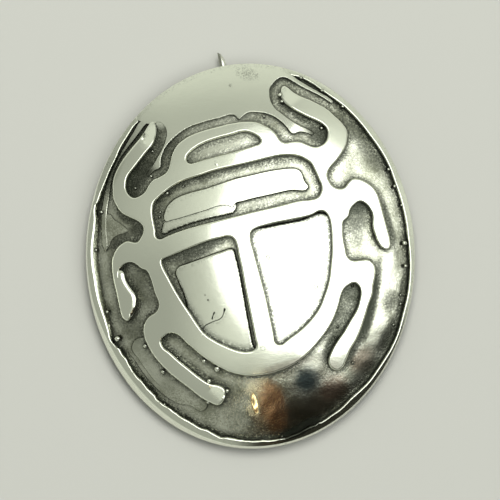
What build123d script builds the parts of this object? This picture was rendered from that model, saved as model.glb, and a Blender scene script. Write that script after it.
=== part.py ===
from build123d import *
import math
import os

# A domed oval brooch of cast silver, lying face up as it rests by itself.
# Its face has a scarab beetle in raised bars, with sunk ground round it, low panels in its openings,
# a smooth field above the head and a narrow raised rim. Behind it are a soldered hinge block and catch,
# and one plain pin that runs along the beetle's own axis. +Y points to the head, z = 0 is the surface.

# The oval and its dome, mm
length = 48.0
width = 41.0
dome_rise = 4.6  # from the edge of the ground up to its middle
edge_height = 1.1  # the ground's height over the flat foot, all round the edge
ground_wall = 0.9  # metal left under the sunk ground

# Cast relief, heights over the sunk ground, mm
field_height = 0.45
panel_height = 0.4
rim_height = 0.75
figure_height = 0.95
bar_width = 2.0

# The pin and its soldered findings, mm
pin_diameter = 0.9
pin_gap = 0.12  # air between the pin and each thing that holds it
pin_overhang = 1.75  # how far the sharp end shows past the head edge
point_length = 2.4
point_aside = 0.25  # the point is ground to one side of the stem
point_diameter = 0.12
pin_lean = 7.0  # degrees, the beetle's axis against the oval's
pin_aside = 0.15  # where the pin crosses the middle
catch_along = 15.5
catch_length = 2.4
catch_strip = 0.65
catch_lip = 0.5
hinge_along = 15.5
knuckle_diameter = 1.9
knuckle_length = 1.5
rivet_diameter = 0.8
cheek_thickness = 0.8
cheek_margin = 0.15  # how far a cheek stands out round the knuckle

# The photograph's own frame, in pixels: the oval's middle, its half axes and its lean.
photo_middle = (250.5, 256.2)
photo_half_length = 193.1
photo_half_width = 164.9
photo_lean = math.radians(1.6)

# What follows from these
solder_depth = ground_wall / 2
bend_across = ((width / 2) ** 2 + dome_rise**2) / (2 * dome_rise)
bend_along = ((length / 2) ** 2 + dome_rise**2) / (2 * dome_rise)
apex = edge_height + dome_rise
bend_axis = Axis((0, 0, apex - bend_along), (1, 0, 0))
spare = 4.0  # extra reach of blocks that are cut back to the dome
tall = apex + figure_height + spare
dome_swing = math.degrees(math.asin(min(0.95, (length / 2 + spare) / (bend_along - dome_rise))))
lean = math.radians(pin_lean)
pin_height = catch_strip + pin_gap + pin_diameter / 2
head_lift = pin_height + pin_diameter / 2 + pin_gap

# Outlines read by hand off the photograph, in its pixels: column, row.
body_outline = [
    (250, 121), (272, 129), (286, 141), (316, 150), (331, 164), (337, 188), (345, 214), (347, 250),
    (344, 290), (334, 319), (312, 350), (284, 370), (250, 376), (220, 368), (188, 345), (166, 318),
    (153, 288), (145, 262), (142, 232), (143, 204), (153, 180), (167, 168), (175, 147), (195, 133), (222, 125),
]
head_slot = [
    (187, 158), (197, 148), (215, 139.5), (244, 132), (256, 136), (259, 141), (245, 148), (220, 155), (196, 162),
]
collar_opening = [
    (153, 205), (165, 193), (185, 181), (230, 167.5), (270, 158), (296, 155.5), (312, 165), (321, 187),
    (313, 198), (280, 205), (230, 217), (185, 229), (160, 238.5), (154, 222),
]
left_wing_opening = [
    (162, 258), (185, 249), (214, 239), (231, 238), (238, 255), (247, 300), (254, 336), (252, 350),
    (232, 348), (205, 333), (182, 300), (166, 271),
]
right_wing_opening = [
    (251, 234), (270, 225), (310, 216), (324, 212), (331, 236), (329, 275), (318, 309), (293, 335),
    (278, 343), (272, 322), (263, 284), (254, 250),
]
collar_panel = [
    (168, 210), (178, 197), (220, 183), (265, 171), (293, 168), (303, 178), (306, 188), (270, 195.5),
    (238, 203), (204, 210), (172, 218),
]
left_wing_panel = [
    (179, 263), (205, 255), (227, 249), (233, 270), (241, 300), (249, 332), (240, 344), (215, 334),
    (200, 315), (186, 290),
]
right_wing_panel = [
    (265, 240), (290, 234), (318, 226), (324, 240), (322, 272), (312, 304), (293, 328), (283, 334),
    (276, 300), (270, 266),
]
left_island = [(106, 214), (117, 220), (128, 232), (122, 237), (113, 244), (106, 240)]
field_edge = [
    (133, 134), (141, 129), (150, 119), (160, 121), (166, 133), (157, 157), (146, 176), (158, 167),
    (166, 147), (190, 127), (236, 116), (262, 113), (290, 131), (315, 134), (296, 122), (275, 107),
    (270, 90), (283, 78), (310, 91), (333, 104),
]
rim_edge = [
    (139, 120), (121, 148), (107, 180), (99, 206), (95.5, 245), (97, 278), (106, 315), (119, 348),
    (147, 388), (183, 418), (225, 437), (270, 441), (310, 428), (350, 398), (384, 358), (403, 310),
    (409, 262), (401, 203), (380, 151), (350, 113), (320, 90), (288, 73),
]
beyond_head = [(300, 30), (230, 10), (130, 60), (110, 105)]  # closes the rim's gap outside the oval

# Legs from root to tip: column, row, width as a share of bar_width.
front_left_leg = [
    (150, 205, 1.5), (136, 207, 1.4), (125, 201, 1.1), (119, 190, 0.95), (121, 177, 0.9),
    (128, 165, 0.92), (138, 153, 0.95), (146, 141, 0.85), (150, 130, 0.65), (152.5, 123, 0.45),
]
front_right_leg = [
    (318, 162, 1.5), (330, 153, 1.35), (337, 142, 1.3), (336, 130, 1.3), (328, 119, 1.1),
    (315, 111, 1.1), (301, 104.5, 1.1), (290, 97, 0.95), (284, 90, 0.6),
]
middle_left_leg = [
    (156, 256, 1.4), (140, 253, 1.3), (128, 251.5, 1.3), (118, 259, 0.9), (117, 270, 0.7), (120, 284, 0.75),
    (126, 297, 1.1), (127, 308, 1.0), (126.5, 316, 0.6),
]
middle_right_leg = [
    (332, 198, 1.5), (346, 195, 1.4), (359, 190, 1.4), (369, 196, 1.1), (375.5, 208, 0.85),
    (378.5, 221, 0.8), (382, 234, 0.85), (386, 244, 0.6),
]
hind_left_leg = [
    (175, 312, 1.5), (162, 320, 1.35), (153.5, 331, 1.25), (154, 343, 1.15), (161, 355, 1.0),
    (172, 366, 1.0), (184, 375, 1.0), (197, 384, 1.0), (210, 392, 1.1), (219, 396, 0.9),
]
hind_right_leg = [
    (336, 272, 1.6), (352, 271, 1.45), (365, 275, 1.1), (367.5, 287, 0.85), (364.5, 301, 0.72),
    (358, 317, 0.8), (350, 331, 0.95), (342, 346, 1.05), (337, 359, 0.95), (336, 364, 0.8),
]


def spot(column, row):
    """A pixel of the photograph as a place on the plate, following the oval's own sizes."""
    right = column - photo_middle[0]
    up = photo_middle[1] - row
    across = right * math.cos(photo_lean) + up * math.sin(photo_lean)
    along = up * math.cos(photo_lean) - right * math.sin(photo_lean)
    return Vector(across / photo_half_width * width / 2, along / photo_half_length * length / 2)


def closed_outline(table):
    """A smooth closed face through the table's places."""
    with BuildSketch() as face:
        with BuildLine():
            Spline(*[spot(column, row) for column, row in table], periodic=True)
        make_face()
    return face.sketch


def leg(table):
    """One leg as a bar that bends along its table and ends in a round tip."""
    middles = [spot(column, row) for column, row, share in table]
    halves = [share * bar_width / 2 for column, row, share in table]
    headings = [
        (after - before).normalized()
        for before, after in zip(middles[:1] + middles[:-1], middles[1:] + middles[-1:])
    ]
    sideways = [Vector(-heading.Y, heading.X) for heading in headings]
    one_side = [middle + side * half for middle, side, half in zip(middles, sideways, halves)]
    other_side = [middle - side * half for middle, side, half in zip(middles, sideways, halves)]
    tip = middles[-1] + headings[-1] * halves[-1]
    with BuildSketch() as face:
        with BuildLine():
            Spline(*one_side)
            ThreePointArc(one_side[-1], tip, other_side[-1])
            Spline(*reversed(other_side))
            Line(other_side[0], one_side[0])
        make_face()
    return face.sketch


def under_dome(level):
    """Everything below the domed surface that lies `level` over the ground."""
    bend = bend_across + level
    reach = min(width / 2 + spare, bend - spare)
    shoulder = apex + level - bend + math.sqrt(bend**2 - reach**2)
    depth = shoulder - tall
    with BuildPart() as body:
        with BuildSketch(Plane.XZ):
            with BuildLine():
                RadiusArc((-reach, shoulder), (reach, shoulder), bend)
                Polyline((reach, shoulder), (reach, depth), (-reach, depth), (-reach, shoulder))
            make_face()
        revolve(axis=bend_axis, revolution_arc=2 * dome_swing)
    return body.part.rotate(bend_axis, -dome_swing)


def relief(face, height):
    """The metal that stands on `face` up to `height` over the ground."""
    with BuildPart() as metal:
        with BuildSketch():
            add(face)
        extrude(amount=tall)
        add(under_dome(height), mode=Mode.INTERSECT)
    return metal.part


with BuildSketch() as oval:
    Ellipse(width / 2, length / 2)

with BuildSketch() as figure:
    add(closed_outline(body_outline))
    for table in (
        front_left_leg, middle_left_leg, hind_left_leg, front_right_leg, middle_right_leg, hind_right_leg
    ):
        add(leg(table))
    for table in (head_slot, collar_opening, left_wing_opening, right_wing_opening):
        add(closed_outline(table), mode=Mode.SUBTRACT)

with BuildSketch() as panels:
    for table in (collar_panel, left_wing_panel, right_wing_panel, left_island):
        add(closed_outline(table))

with BuildSketch() as field:
    add(oval.sketch)
    with BuildLine():
        Spline(*[spot(column, row) for column, row in field_edge])
        Polyline(*[spot(column, row) for column, row in field_edge[-1:] + beyond_head + field_edge[:1]])
    make_face(mode=Mode.INTERSECT)

with BuildSketch() as rim:
    add(oval.sketch)
    with BuildLine():
        Spline(*[spot(column, row) for column, row in rim_edge])
        Polyline(*[spot(column, row) for column, row in rim_edge[-1:] + beyond_head + rim_edge[:1]])
    make_face(mode=Mode.SUBTRACT)

# The cast plate in its own frame, with its flat foot at z = 0
with BuildPart() as casting:
    add(relief(oval.sketch, 0))
    add(relief(field.sketch, field_height))
    add(relief(panels.sketch, panel_height))
    add(relief(rim.sketch, rim_height))
    add(relief(figure.sketch, figure_height))
    add(under_dome(-ground_wall), mode=Mode.SUBTRACT)

# At rest the tail edge and the catch touch the surface, so the head edge is up by head_lift.
toward_head = Vector(-math.sin(lean), math.cos(lean))
beside_pin = Vector(math.cos(lean), math.sin(lean))
tail_reach = math.hypot(width / 2 * toward_head.X, length / 2 * toward_head.Y)
tail_touch = Vector(
    -((width / 2) ** 2) * toward_head.X / tail_reach,
    -((length / 2) ** 2) * toward_head.Y / tail_reach,
)
rest_tilt = math.degrees(math.asin(head_lift / (2 * tail_reach)))
rest_axis = Axis(tail_touch, beside_pin)

# Planes of the findings: along the pin from its middle, and up from the surface
pin_middle = Vector(pin_aside, 0, 0)
catch_plane = Plane(pin_middle + toward_head * catch_along, x_dir=beside_pin, z_dir=-toward_head)
hinge_plane = Plane(pin_middle - toward_head * hinge_along, x_dir=toward_head, z_dir=beside_pin)
cheek_offset = knuckle_length / 2 + pin_gap
cheek_radius = knuckle_diameter / 2 + cheek_margin
bore_diameter = rivet_diameter + 2 * pin_gap
catch_room = pin_diameter / 2 + pin_gap

# The catch is one strip, down from the plate, under the pin and up again to a short lip.
with BuildPart() as catch:
    with BuildSketch(catch_plane):
        with BuildLine():
            Polyline(
                (-catch_room - catch_strip, tall),
                (-catch_room - catch_strip, 0),
                (catch_room + catch_strip, 0),
                (catch_room + catch_strip, catch_strip + catch_lip),
                (catch_room, catch_strip + catch_lip),
                (catch_room, catch_strip),
                (-catch_room, catch_strip),
                (-catch_room, tall),
                close=True,
            )
        make_face()
    extrude(amount=catch_length / 2, both=True)

# The hinge block is two cheeks with a rivet across them.
with BuildPart() as hinge_block:
    for side in (-1, 1):
        with BuildSketch(hinge_plane.offset(side * (cheek_offset + cheek_thickness / 2))):
            with Locations((0, pin_height)):
                Circle(cheek_radius)
            with Locations((0, pin_height + tall / 2)):
                Rectangle(2 * cheek_radius, tall)
        extrude(amount=cheek_thickness / 2, both=True)
    with BuildSketch(hinge_plane):
        with Locations((0, pin_height)):
            Circle(rivet_diameter / 2)
    extrude(amount=cheek_offset + cheek_thickness / 2, both=True)

with BuildPart() as cast_plate:
    add(catch.part)
    add(hinge_block.part)
    add(under_dome(-solder_depth).rotate(rest_axis, rest_tilt), mode=Mode.INTERSECT)
    add(casting.part.rotate(rest_axis, rest_tilt))

# The pin lies level: a bored knuckle round the rivet, a straight stem and a sharp point past the head edge.
head_reach = 1 / math.hypot(toward_head.X / (width / 2), toward_head.Y / (length / 2)) + pin_overhang
point_start = head_reach - point_length
with BuildPart() as pin:
    with BuildSketch(hinge_plane):
        with Locations((0, pin_height)):
            Circle(knuckle_diameter / 2)
    extrude(amount=knuckle_length / 2, both=True)
    pin_line = Plane(pin_middle + Vector(0, 0, pin_height), x_dir=beside_pin, z_dir=toward_head)
    with BuildSketch(pin_line.offset(-hinge_along)):
        Circle(pin_diameter / 2)
    extrude(amount=hinge_along + point_start)
    with BuildSketch(pin_line.offset(point_start)):
        Circle(pin_diameter / 2)
    with BuildSketch(pin_line.offset(head_reach)):
        with Locations((-point_aside, 0)):
            Circle(point_diameter / 2)
    loft()
    with BuildSketch(hinge_plane):
        with Locations((0, pin_height)):
            Circle(bore_diameter / 2)
    extrude(amount=knuckle_length, both=True, mode=Mode.SUBTRACT)

# The origin is on the surface, under the middle of the whole brooch with its pin.
lowest = cast_plate.part.bounding_box().min
highest = cast_plate.part.bounding_box().max
head_end = max(highest.Y, pin.part.bounding_box().max.Y)
to_origin = Location((-(lowest.X + highest.X) / 2, -(lowest.Y + head_end) / 2, -lowest.Z))
cast_plate.part = cast_plate.part.moved(to_origin)
pin.part = pin.part.moved(to_origin)

os.makedirs("parts", exist_ok=True)
cast_plate.part.label = "cast_plate"
export_step(cast_plate.part, "parts/cast_plate.step")
pin.part.label = "pin"
export_step(pin.part, "parts/pin.step")
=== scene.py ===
import math

import bmesh
import bpy
from mathutils import Matrix, Vector, noise


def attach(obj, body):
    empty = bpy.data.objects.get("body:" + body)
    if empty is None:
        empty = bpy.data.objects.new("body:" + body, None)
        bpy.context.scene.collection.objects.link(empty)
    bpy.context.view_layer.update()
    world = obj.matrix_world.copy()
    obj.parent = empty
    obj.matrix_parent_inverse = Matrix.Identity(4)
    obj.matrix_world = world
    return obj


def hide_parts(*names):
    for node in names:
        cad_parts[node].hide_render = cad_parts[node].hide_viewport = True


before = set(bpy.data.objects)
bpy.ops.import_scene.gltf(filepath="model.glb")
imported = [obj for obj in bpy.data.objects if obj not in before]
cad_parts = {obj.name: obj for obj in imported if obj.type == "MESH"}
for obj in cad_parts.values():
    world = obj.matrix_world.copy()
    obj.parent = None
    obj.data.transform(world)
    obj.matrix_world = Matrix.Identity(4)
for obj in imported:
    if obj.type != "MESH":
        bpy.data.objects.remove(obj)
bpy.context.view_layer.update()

# The brooch is modelled flat in millimetres, as a founder carves the wax, then domed, tilted to rest and
# turned into metres. The sizes are the CAD's.
millimetre = 0.001
length = 48.0
width = 41.0
dome_rise = 4.6
edge_height = 1.1
ground_wall = 0.9  # metal under the ground
wall_lean = 0.15  # 0 for walls upright on the plate, 1 for walls square to the dome
lean_fade = 3  # how fast that lean goes towards the edge

# Heights over the ground
field_height = 0.45
panel_height = 0.4
lower_panel_height = 0.32
island_height = 0.12
rim_height = 0.75
figure_height = 0.95
step_height = 0.11
upper_step_height = 0.2
crack_half_width = 0.06
crack_foot = -0.32
ring_wire = 0.06

# The pin and its findings
pin_lean = math.radians(7.0)
pin_aside = 0.15
pin_height = 1.22
pin_radius = 0.45
pin_gap = 0.12
finding_along = 15.5  # from the pin's middle to the catch, and to the hinge block
catch_length = 2.4
catch_strip = 0.65
catch_lip = 0.5
catch_top = 4.75
cheek_top = 3.65
solder_spread = 0.32
knuckle_length = 1.5
knuckle_radius = 0.95
pin_overhang = 1.75  # past the head edge
cheek_thickness = 0.8
cheek_radius = 1.1
rivet_radius = 0.4

# The blank's grid, and the block that cuts it to the oval
grid_step = 0.4
grid_columns = 110
grid_rows = 128
block_sides = 288
block_foot = -3

# The photograph's own frame, in pixels
photo_side = 500
photo_middle = (250.5, 256.2)
photo_half_length = 193.1
photo_half_width = 164.9
photo_lean = math.radians(1.6)
pixel = length / 2 / photo_half_length  # mm

# The CAD's origin is under the middle of plate and pin together.
origin_shift = Vector((-0.0067, -0.6994, 0.0))
bend_across = ((width / 2) ** 2 + dome_rise**2) / (2 * dome_rise)
bend_along = ((length / 2) ** 2 + dome_rise**2) / (2 * dome_rise)
apex = edge_height + dome_rise

# Outlines read off the photograph, in its pixels: column, row.
beetle_outline = [
    (150.5, 121.5), (147.5, 125), (144.5, 130), (140, 137), (130, 149), (121, 161), (115, 172), (112, 182),
    (112, 192), (113, 200), (116, 206), (121, 213), (130, 218), (138, 222), (142, 226), (143, 231),
    (140.5, 237), (137, 241.5), (133, 241.5), (128, 240.5), (122, 243), (116, 249), (112, 258),
    (111.5, 266), (113, 280), (116, 293), (118, 303), (120, 312), (123, 319), (127, 321.5), (130, 320),
    (131.5, 314), (132, 307), (131, 300), (128, 292), (124, 286), (121, 281), (119.5, 276), (120, 271),
    (122.5, 267), (126, 264), (131, 263), (136, 265), (141, 269), (146, 271), (149, 276), (152, 285),
    (155, 295), (158, 302), (158, 307), (155, 312), (149, 316), (145, 321), (143, 328), (143.5, 336),
    (147, 345), (152, 354), (160, 364), (170, 374), (180, 382), (190, 389.5), (200, 397.5), (210, 403),
    (216, 405.5), (220, 405), (224, 401), (226, 395), (225, 389), (219, 385), (210, 383), (200, 377),
    (190, 369), (180, 361), (170, 352), (163, 346), (162, 340), (165, 336.5), (170, 333.5), (175, 334),
    (180, 337), (186, 343), (193, 349), (200, 355), (210, 362), (220, 368), (230, 372.5), (240, 375),
    (250, 376), (260, 375.5), (270, 374), (280, 371), (290, 367), (300, 361), (310, 352), (320, 341),
    (330, 327), (336, 315), (340, 303), (342, 295), (345, 289), (350, 285), (354, 283.5), (358, 286),
    (360, 292), (359, 300), (356, 310), (350, 320), (343, 332), (336, 342), (331, 351), (328, 360),
    (329, 366), (333, 370), (338, 371), (343, 368), (347, 360), (351, 350), (357, 340), (362, 328),
    (366, 316), (370, 303), (373, 295), (374, 285), (376, 275), (376, 268), (373, 262), (368, 259),
    (360, 259.5), (352, 259.5), (348, 256), (346, 248), (344, 238), (343.5, 228), (344, 222), (349, 217),
    (351, 210), (355, 205), (360, 202), (365, 204), (370, 210), (372, 215), (372, 225), (374, 233),
    (378, 243), (383, 249), (388, 250), (391, 247), (391, 240), (388, 228), (384, 213), (381, 202),
    (378, 193), (373, 186), (366, 181), (358, 178), (352, 178.5), (348, 182), (344, 187), (340, 188),
    (334, 186), (330, 181), (328, 175), (330, 169), (336, 162), (342, 154), (346, 147), (348, 140),
    (348, 131), (344, 124), (335, 115), (327, 108), (320, 104), (310, 99), (300, 95), (292, 90), (287, 86),
    (284, 85), (281, 87), (280, 92), (279.5, 95), (281.5, 99), (285.5, 104), (293, 109.5), (300, 113.5),
    (308, 117.5), (316, 121), (322, 124.5), (326, 129), (327, 135), (325, 141), (320, 145), (314, 146),
    (308, 144), (300, 141), (292, 141), (285, 142), (281, 140), (277, 134), (272, 129), (265, 125),
    (258, 122), (250, 121), (240, 121.5), (230, 123), (220, 125.5), (210, 128), (200, 131), (190, 135),
    (182, 140), (175, 147), (171, 156), (169, 165), (166, 172), (160, 176), (152, 180), (148, 185),
    (144, 192), (138, 196), (134, 197), (130, 195), (127, 190), (126.5, 183), (128, 177), (133, 170),
    (140, 161), (147, 152), (152, 146), (155, 140), (156.5, 132), (156, 125), (153.5, 121),
]
head_slot = [
    (187, 158), (190, 153), (196, 148), (203, 144), (215, 139.5), (230, 135.5), (244, 132), (250, 133),
    (256, 136), (259, 138.5), (260, 142), (254, 145), (245, 148), (235, 151), (220, 155), (205, 159),
    (195, 162), (189, 162.5),
]
collar_opening = [
    (154, 204), (157, 200), (165, 193), (170, 189), (180, 183), (190, 179), (200, 176), (215, 171),
    (230, 167.5), (250, 163), (270, 158), (280, 156), (290, 155.5), (300, 157), (305, 159.5), (310, 163),
    (314, 170), (318, 179), (321, 187), (320, 193), (317, 197), (310, 199), (300, 200), (280, 205),
    (265, 208.5), (250, 212), (230, 217), (210, 222), (195, 226), (185, 229), (175, 232.5), (165, 236.5),
    (160, 238.5), (157, 237), (156, 230), (154, 220), (153, 210),
]
left_wing_opening = [
    (163, 265), (162.5, 261), (166, 258.5), (172, 256), (180, 252.5), (190, 248.5), (200, 244.5),
    (210, 241), (220, 238.5), (230, 237), (234, 240), (236, 245), (238, 255), (241, 268), (244, 285),
    (247, 300), (250, 315), (253, 330), (255, 341), (256, 345), (254, 349), (248, 351), (240, 350.5),
    (232, 348), (225, 345), (215, 340), (205, 333), (200, 327), (192, 315), (184, 303), (176, 290),
    (169, 277),
]
right_wing_opening = [
    (251, 237), (252, 232), (256, 229), (265, 226), (275, 223.5), (285, 221.5), (295, 219.5), (305, 217.5),
    (313, 215), (320, 211.5), (324, 212), (328, 217), (330, 225), (331, 240), (331, 255), (330, 265),
    (329, 275), (327, 285), (323, 297), (319, 307), (313, 316), (305, 325), (297, 332), (290, 337),
    (285, 341), (280, 344), (276, 342), (275, 337), (273, 327), (270, 313), (266, 295), (262, 280),
    (258, 265), (254, 250),
]
collar_panel = [
    (165, 222), (166, 207), (170, 202), (175, 198), (185, 193.5), (205, 188), (220, 183), (235, 178),
    (250, 174.5), (270, 170), (280, 168.5), (290, 167.5), (298, 168.5), (302, 172), (305, 180), (309, 188),
    (290, 191), (270, 195.5), (250, 200), (243, 202), (236, 204), (233, 208), (226, 206), (200, 213),
    (172, 221),
]
lower_collar_panel = [
    (162, 234), (162, 226), (165, 221), (172, 217), (200, 209), (226, 202), (236, 203), (234, 213),
    (230, 214.5), (210, 219), (190, 224.5), (172, 231),
]
left_wing_panel = [
    (178, 266.5), (185, 263.5), (192, 261), (203, 257), (213, 253.3), (222, 250.5), (230, 248), (234, 249),
    (236.5, 256), (239.5, 268), (243.5, 288), (246.5, 306), (250, 325), (252.5, 338), (253.5, 343),
    (257, 357), (240, 358), (225, 352), (208, 344), (196, 331), (188, 318), (186, 306), (183, 294),
    (178, 282), (175, 272),
]
right_wing_panel = [
    (249, 232), (270, 225), (300, 219), (324, 212), (334, 220), (337, 240), (336, 262), (332, 285),
    (325, 305), (314, 323), (300, 336), (285, 346), (274, 346), (267, 330), (261, 300), (255, 270),
]
left_island = [
    (104, 215), (111, 214), (114, 218.5), (120, 222.5), (127, 228), (129, 231), (125, 234), (118, 236),
    (112, 241), (108.5, 249), (105, 252), (103, 240),
]
leg_slope = [
    (118, 266), (114, 275), (116, 290), (119, 304), (124, 315), (130, 318), (135, 311), (136.5, 303),
    (135.5, 295), (131.5, 289), (127.5, 283), (125, 277), (123.5, 270),
]
field_edge = [
    (139, 121.5), (144, 123.5), (149, 124.5), (154, 124), (158, 122.5), (163, 125), (166, 131), (165, 140),
    (162, 148), (157, 157), (153, 164), (148.5, 170), (146, 174), (147.5, 176.5), (151, 174), (155, 170.5),
    (160, 168), (161, 160), (163, 153), (166, 147), (172, 140), (180, 133), (190, 127), (200, 123.5),
    (210, 120.5), (220, 118), (233, 115), (236, 117), (239, 119.5), (243, 116.5), (248, 113), (258, 112.5),
    (270, 115), (280, 121), (286, 127), (290, 132), (293, 134), (300, 132), (308, 133.5), (312, 135),
    (314.5, 133.5), (312, 130.5), (307, 128), (300, 125), (290, 119), (282, 113), (275, 107), (271, 100),
    (270, 93), (270.5, 88), (274, 83), (279, 78.5), (284, 77.5), (290, 80), (300, 86), (310, 91), (320, 96),
    (328, 101), (332, 103), (334, 101.5), (331, 98), (320, 91.5), (310, 86), (301, 80.5), (295, 76.5),
    (291, 72.5), (291.5, 68), (297, 62),
]
strip_edge = [
    (141, 120), (149, 119.5), (144, 127), (136, 138), (128, 148), (121, 158), (115, 170), (111.5, 182),
    (109.5, 196), (107.5, 206), (106.5, 218), (106.5, 232), (107.5, 243), (106.5, 249), (103, 248),
    (101.5, 240), (100.5, 225), (101, 210), (103, 197), (105.5, 185), (110.5, 171), (117, 158),
    (124.5, 145), (132.5, 132),
]
moat_ramp = [(154, 119), (155, 128), (156, 138), (161, 142), (165, 137), (168, 130), (164, 120)]
rim_edge = [
    (139, 120), (134, 127), (127, 138), (121, 148), (116, 160), (111, 170), (107, 180), (103, 190),
    (100, 203), (98.5, 206), (99, 220), (98.5, 230), (97.5, 240), (97, 250), (98, 265), (100, 278),
    (102, 292), (105, 305), (108, 315), (110.5, 325), (112, 332), (113, 339), (118, 347), (123, 355),
    (127, 361), (131, 368), (135, 374), (141, 381), (147, 388), (153, 394), (158, 400), (164, 405),
    (170, 409), (177, 414), (183, 418), (190, 422), (198, 427), (206, 430), (212, 433), (220, 437),
    (230, 438.5), (240, 440), (250, 441), (262, 440.5), (274, 440), (288, 437), (302, 431), (315, 424.5),
    (326, 418), (330, 415), (340, 408), (350, 398), (360, 389), (368, 381), (376, 370), (384, 358),
    (390, 348), (396, 335), (400, 322), (403, 310), (406, 298), (408, 285), (409, 262), (407, 238),
    (405, 222), (400, 200), (395, 185), (388, 166), (380, 151), (370, 137), (360, 124), (350, 113),
    (340, 104), (330, 97), (320, 90), (310, 83), (300, 78), (288, 73),
]
beyond_head = [(312, 48), (290, 44), (210, 46), (130, 85), (118, 115)]
beyond_rim = [
    (300, 55), (400, 100), (440, 260), (410, 420), (250, 490), (90, 420), (60, 250), (95, 130), (122, 108),
]
ground_step = [
    (127, 348), (134, 361), (142, 373), (150, 383), (160, 393), (170, 400.5), (178, 404.5), (190, 406.5),
    (202, 412), (208, 404), (196, 390), (176, 374), (160, 358), (151, 342), (140, 338),
]
upper_step = [
    (131, 347), (138, 359.5), (146, 371), (153, 380), (162, 388.5), (170, 392), (176, 380), (160, 358),
    (151, 342), (141, 337),
]
wing_crack = [(203, 331), (204, 327), (212, 322), (220.5, 318.5), (223.6, 313.6), (224.7, 307.6)]
short_crack = [(212, 319.7), (213, 315.5), (214.8, 311.5)]
pits = [(208, 300, 1.0), (205, 295, 0.7)]  # column, row, radius in pixels
rings = [(268, 257, 1.9, 0.4), (316, 286.5, 2.2, 0.4), (263, 348, 2.2, 0.95)]  # and the height in mm

# Casting beads: column, row, radius in pixels, height of the middle over the ground in mm
beads = [
    (95.5, 250, 1.6, 0.3), (101, 212, 1.8, 0.2), (117, 339, 3.0, 0.45), (107, 312, 1.6, 0.5),
    (145, 346, 2.2, 0.4), (163, 372, 2.2, 0.4), (204, 361, 2.4, 0.5), (217, 369, 3.2, 0.5),
    (208, 402, 1.8, 0.6), (209, 381, 2.2, 0.7), (152, 151, 1.8, 0.1), (135, 188, 1.6, 0.1),
    (151, 176, 1.6, 0.1), (167, 193, 1.8, 0.5), (160, 212, 1.3, 0.1), (159, 217, 1.3, 0.1),
    (164, 222, 1.3, 0.1), (322, 127.5, 2.4, 0.15), (282, 101, 1.8, 0.5), (301, 77.5, 1.5, 0.5),
    (322, 90, 1.8, 0.5), (343, 106, 1.8, 0.5), (389, 169, 1.8, 0.5), (395, 186, 1.8, 0.5),
    (402, 205, 1.6, 0.5), (405, 243, 2.6, 0.5), (406, 266, 2.0, 0.5), (401, 295, 1.6, 0.1),
    (401, 304, 1.8, 0.1), (394, 325, 1.6, 0.1), (353, 363, 1.6, 0.05), (338, 327, 1.4, 0.05),
    (335.5, 338, 1.4, 0.05), (353, 286, 1.6, 0.1), (164, 405, 1.8, 0.3), (167, 408, 1.6, 0.3),
    (171, 352, 1.3, 0.2), (177, 358, 1.4, 0.2), (181, 363, 1.3, 0.2), (186, 367, 1.6, 0.2),
    (189, 369, 1.4, 0.2), (195, 374, 1.6, 0.2), (216, 164, 1.5, 0.85), (202, 335, 1.6, 0.85),
    (280, 94.5, 2.0, 0.7), (264, 116, 1.2, 0.3), (282, 437, 1.4, 0.6), (227, 391, 2.2, 0.5),
    (196, 178, 1.2, 0.1), (183, 186, 1.3, 0.1), (230, 85, 0.9, 0.42), (192, 372, 1.3, 0.15),
    (199, 377, 1.2, 0.15),
]

# Humps of the ground: column, row, radius in pixels, height in mm
swells = [
    (358, 135, 22, 0.12), (380, 330, 26, 0.04), (372, 170, 18, 0.06), (395, 250, 20, 0.08),
    (345, 385, 24, 0.08), (130, 330, 14, 0.05), (250, 415, 20, 0.04),
]

# Blackened places of the ground, where patina and painted shade lie together, and cleaner places, where the
# ground is lighter and its painted shade weaker: column, row, half lengths in pixels, clockwise lean,
# strength
soot_and_shade_places = [
    (137, 178, 26, 13, 38, 0.75), (154, 150, 22, 9, 25, 0.42), (168, 156, 24, 7, 30, 0.25),
    (129, 220, 15, 5, 126, 0.4), (138, 231, 9, 8, 60, 0.5), (121, 241, 14, 5, 57, 0.4),
    (143, 285, 26, 15, 170, 0.2), (160, 215, 26, 8, 175, 0.2), (130, 322, 20, 12, 150, 0.2),
    (212, 174, 52, 7, 73, 0.25), (238, 168, 40, 5, 74, 0.2), (283, 161, 38, 6, 80, 0.27),
    (262, 205, 34, 5, 76, 0.14), (198, 251, 30, 8, 67, 0.6), (229, 402, 8, 6, 0, 0.15),
    (320, 136, 16, 9, 120, 0.65), (301, 118, 24, 4, 122, 0.45), (364, 140, 36, 12, 145, 0.33),
    (350, 112, 40, 5, 138, 0.3), (390, 175, 30, 4, 155, 0.45), (359, 206, 10, 13, 100, 0.8),
    (356, 218, 18, 12, 0, 0.55), (355, 228, 20, 11, 0, 0.35), (387, 223, 30, 5, 166, 0.6),
    (353, 292, 15, 13, 10, 0.7), (344, 318, 46, 12, 24, 0.5), (333, 346, 18, 8, 24, 0.8),
    (370, 303, 40, 7, 14, 1.0), (357, 342, 22, 5, 28, 0.75), (391, 301, 11, 8, 20, 0.35),
    (402, 300, 50, 4, 12, 0.5), (389, 340, 26, 8, 25, 0.6), (370, 372, 26, 10, 45, 0.6),
]
# Clean places: patina and painted shade are weaker there and the ground lighter, partly cleaner metal and
# partly painted light
clean_and_unshaded_places = [
    (215, 124, 52, 9, 76, 1.0), (225, 147, 44, 12, 76, 1.0), (377, 334, 30, 8, 20, 1.0),
    (318, 358, 22, 9, 45, 0.9), (313, 97, 28, 6, 122, 0.8), (390, 275, 22, 9, 0, 0.8),
]
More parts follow.
